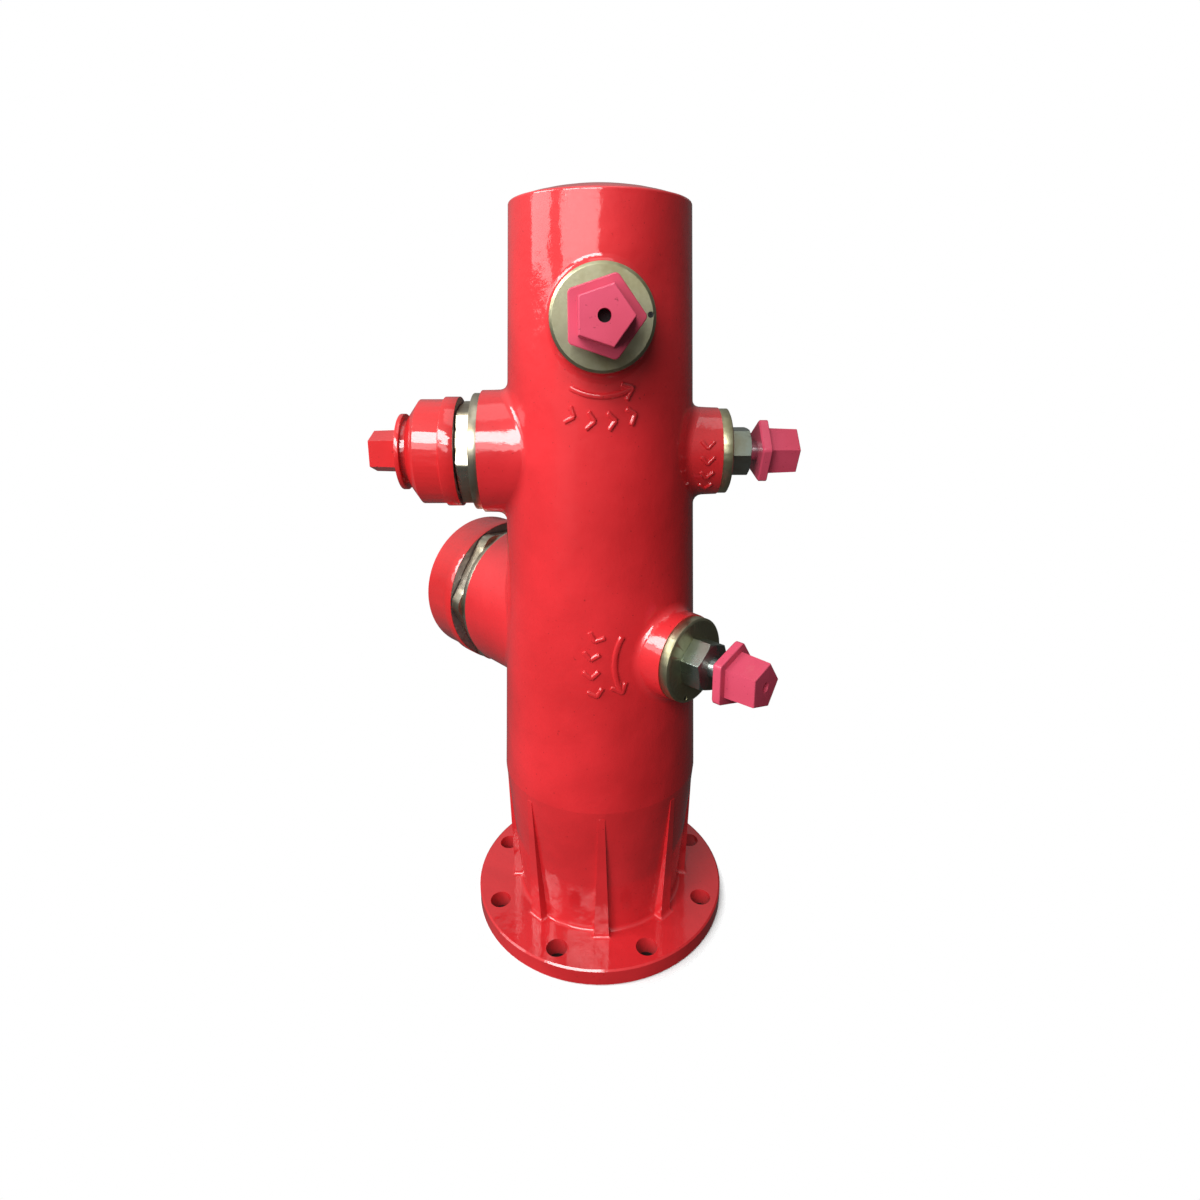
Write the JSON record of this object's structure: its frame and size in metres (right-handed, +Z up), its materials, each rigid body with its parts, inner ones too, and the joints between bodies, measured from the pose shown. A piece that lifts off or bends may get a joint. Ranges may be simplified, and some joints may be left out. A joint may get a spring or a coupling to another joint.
{
  "type": "fire hydrant",
  "caption": "Wet-barrel fire hydrant: ribbed, flanged barrel with independently valved side outlets, threaded caps and pentagon operating nuts.",
  "frame": {"origin": "centre of the base flange's underside, on the barrel's axis", "axes": "+Z up along the barrel, +X along the middle valve's stem, -Y along the top valve's stem"},
  "size_m": [0.412, 0.412, 0.7465],
  "materials": {
    "barrel_paint": "thick gloss enamel",
    "cap_paint": "gloss enamel",
    "nut_paint": "satin enamel",
    "brass": "turned, dulled",
    "bronze": "turned, dulled",
    "stem_metal": "turned",
    "screw_steel": "blackened",
    "rubber": "moulded",
    "packing": "graphited"
  },
  "bodies": {
    "root": {"barrel": "barrel_paint", "insert_set_screws": "screw_steel", "top_valve_insert": "brass", "top_insert_o_ring": "rubber", "top_stem_packing": "packing", "top_gland_nut": "bronze", "top_nozzle": "brass", "top_nozzle_o_ring": "rubber", "middle_valve_insert": "brass", "middle_insert_o_ring": "rubber", "middle_stem_packing": "packing", "middle_gland_nut": "bronze", "middle_nozzle": "brass", "middle_nozzle_o_ring": "rubber", "lower_valve_insert": "brass", "lower_insert_o_ring": "rubber", "lower_stem_packing": "packing", "lower_gland_nut": "bronze", "lower_nozzle": "brass", "lower_nozzle_o_ring": "rubber"},
    "top_valve": {"top_disc_carrier": "bronze", "top_valve_rubber": "rubber", "top_disc_retainer": "bronze"},
    "top_stem": {"top_stem": "stem_metal", "top_operating_nut": "nut_paint", "top_nut_screw": "screw_steel"},
    "top_gasket": {"top_cap_gasket": "rubber"},
    "top_cap": {"top_cap": "cap_paint"},
    "middle_valve": {"middle_disc_carrier": "bronze", "middle_valve_rubber": "rubber", "middle_disc_retainer": "bronze"},
    "middle_stem": {"middle_stem": "stem_metal", "middle_operating_nut": "nut_paint", "middle_nut_screw": "screw_steel"},
    "middle_gasket": {"middle_cap_gasket": "rubber"},
    "middle_cap": {"middle_cap": "cap_paint"},
    "lower_valve": {"lower_disc_carrier": "bronze", "lower_valve_rubber": "rubber", "lower_disc_retainer": "bronze"},
    "lower_stem": {"lower_stem": "stem_metal", "lower_operating_nut": "nut_paint", "lower_nut_screw": "nut_paint"},
    "lower_gasket": {"lower_cap_gasket": "rubber"},
    "lower_cap": {"lower_cap": "cap_paint"}
  },
  "joints": [
    {"name": "top_valve_lift", "type": "slide", "parent": "root", "child": "top_valve", "axis": [0, -1, 0], "range_m": [0, 0.03185]},
    {"name": "top_stem_turn", "type": "hinge", "parent": "top_valve", "child": "top_stem", "pos_m": [0, 0, 0.6335], "axis": [0, -1, 0], "range_deg": [0, 1800]},
    {"name": "top_cap_travel", "type": "slide", "parent": "root", "child": "top_gasket", "axis": [0, 1, 0], "range_m": [0, 0.02719]},
    {"name": "top_cap_turn", "type": "hinge", "parent": "top_gasket", "child": "top_cap", "pos_m": [0, 0, 0.6335], "axis": [0, 1, 0], "range_deg": [0, 2880]},
    {"name": "middle_valve_lift", "type": "slide", "parent": "root", "child": "middle_valve", "axis": [1, 0, 0], "range_m": [0, 0.03185]},
    {"name": "middle_stem_turn", "type": "hinge", "parent": "middle_valve", "child": "middle_stem", "pos_m": [0, 0, 0.513], "axis": [1, 0, 0], "range_deg": [0, 1800]},
    {"name": "middle_cap_travel", "type": "slide", "parent": "root", "child": "middle_gasket", "axis": [-1, 0, 0], "range_m": [0, 0.02719]},
    {"name": "middle_cap_turn", "type": "hinge", "parent": "middle_gasket", "child": "middle_cap", "pos_m": [0, 0, 0.513], "axis": [-1, 0, 0], "range_deg": [0, 2880]},
    {"name": "lower_valve_lift", "type": "slide", "parent": "root", "child": "lower_valve", "axis": [0.7071, -0.7071, 0], "range_m": [0, 0.04455]},
    {"name": "lower_stem_turn", "type": "hinge", "parent": "lower_valve", "child": "lower_stem", "pos_m": [0, 0, 0.3296], "axis": [0.7071, -0.7071, 0], "range_deg": [0, 2520]},
    {"name": "lower_cap_travel", "type": "slide", "parent": "root", "child": "lower_gasket", "axis": [-0.7071, 0.7071, 0], "range_m": [0, 0.0382]},
    {"name": "lower_cap_turn", "type": "hinge", "parent": "lower_gasket", "child": "lower_cap", "pos_m": [0, 0, 0.3296], "axis": [-0.7071, 0.7071, 0], "range_deg": [0, 2160]}
  ],
  "couplings": [
    {"joint": "top_valve_lift", "follows": "top_stem_turn", "m_per_rad": 0.0010106},
    {"joint": "top_cap_travel", "follows": "top_cap_turn", "m_per_rad": 0.00053901},
    {"joint": "middle_valve_lift", "follows": "middle_stem_turn", "m_per_rad": 0.0010106},
    {"joint": "middle_cap_travel", "follows": "middle_cap_turn", "m_per_rad": 0.00053901},
    {"joint": "lower_valve_lift", "follows": "lower_stem_turn", "m_per_rad": 0.0010106},
    {"joint": "lower_cap_travel", "follows": "lower_cap_turn", "m_per_rad": 0.0010106}
  ]
}
